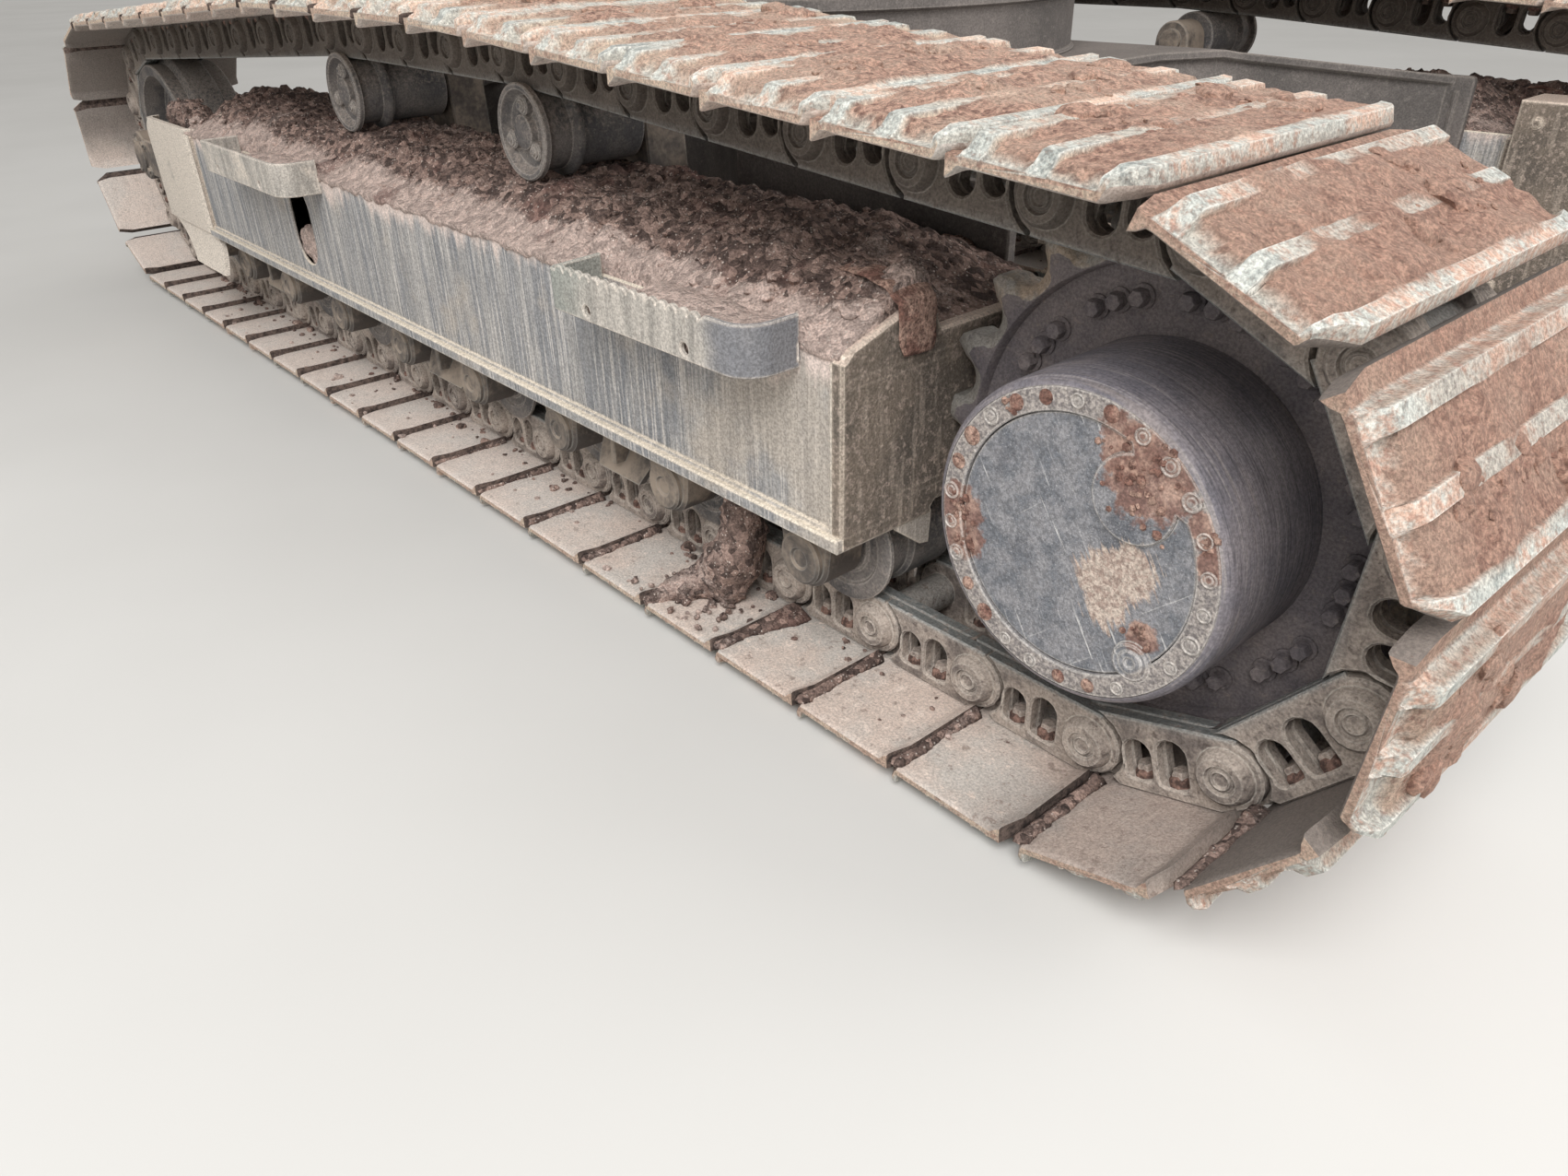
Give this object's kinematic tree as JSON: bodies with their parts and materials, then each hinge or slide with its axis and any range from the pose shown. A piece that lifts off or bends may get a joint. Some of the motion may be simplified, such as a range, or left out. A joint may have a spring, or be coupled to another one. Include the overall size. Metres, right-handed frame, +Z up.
{
  "type": "crawler excavator undercarriage",
  "caption": "Crawler undercarriage of a hydraulic excavator: track units with grouser shoes, sprockets, idlers and rollers, car body and slew bearing that turns.",
  "frame": {"origin": "on the ground under the slew axis, the middle of the underside's box", "axes": "+X along the tracks towards the idlers, +Y to the left across them, +Z up along the slew axis"},
  "size_m": [4.9761, 3.0906, 1.125],
  "materials": {
    "shoe_steel": "worn steel under dry clay",
    "chain_steel": "worn forged steel with dust",
    "running_gear": "dusty forged steel",
    "frame_paint": "weathered grey paint with dust streaks",
    "sprocket_steel": "dark steel with polished tooth edges",
    "drive_paint": "scratched charcoal paint",
    "body_paint": "matt grey paint with a film of dust",
    "race_steel": "turned steel with a film of oil"
  },
  "bodies": {
    "undercarriage": {"left_track_shoes": "shoe_steel", "right_track_shoes": "shoe_steel", "left_track_chain": "chain_steel", "right_track_chain": "chain_steel", "left_track_frame": "frame_paint", "right_track_frame": "frame_paint", "left_idler_guard": "frame_paint", "right_idler_guard": "frame_paint", "left_steps": "frame_paint", "right_steps": "frame_paint", "left_chain_guides": "running_gear", "right_chain_guides": "running_gear", "left_idler": "running_gear", "right_idler": "running_gear", "left_idler_yoke": "running_gear", "right_idler_yoke": "running_gear", "left_carrier_rollers": "running_gear", "right_carrier_rollers": "running_gear", "left_carrier_brackets": "running_gear", "right_carrier_brackets": "running_gear", "left_track_rollers": "running_gear", "right_track_rollers": "running_gear", "left_roller_mounts": "running_gear", "right_roller_mounts": "running_gear", "left_sprocket": "sprocket_steel", "right_sprocket": "sprocket_steel", "left_final_drive": "drive_paint", "right_final_drive": "drive_paint", "left_drive_hub": "drive_paint", "right_drive_hub": "drive_paint", "left_travel_motor": "drive_paint", "right_travel_motor": "drive_paint", "left_motor_guard": "frame_paint", "right_motor_guard": "frame_paint", "car_body": "body_paint", "belly_cover": "body_paint", "turret": "body_paint", "slew_inner_race": "race_steel", "swivel_body": "drive_paint"},
    "slew_ring": {"slew_outer_race": "race_steel"},
    "swivel_rotor": {"swivel_spindle": "drive_paint"}
  },
  "joints": [
    {"name": "slew", "type": "hinge", "parent": "undercarriage", "child": "slew_ring", "pos_m": [0, 0, 1.061], "axis": [0, 0, 1], "continuous": true},
    {"name": "swivel", "type": "hinge", "parent": "undercarriage", "child": "swivel_rotor", "pos_m": [0, 0, 0.8], "axis": [0, 0, 1], "continuous": true}
  ]
}
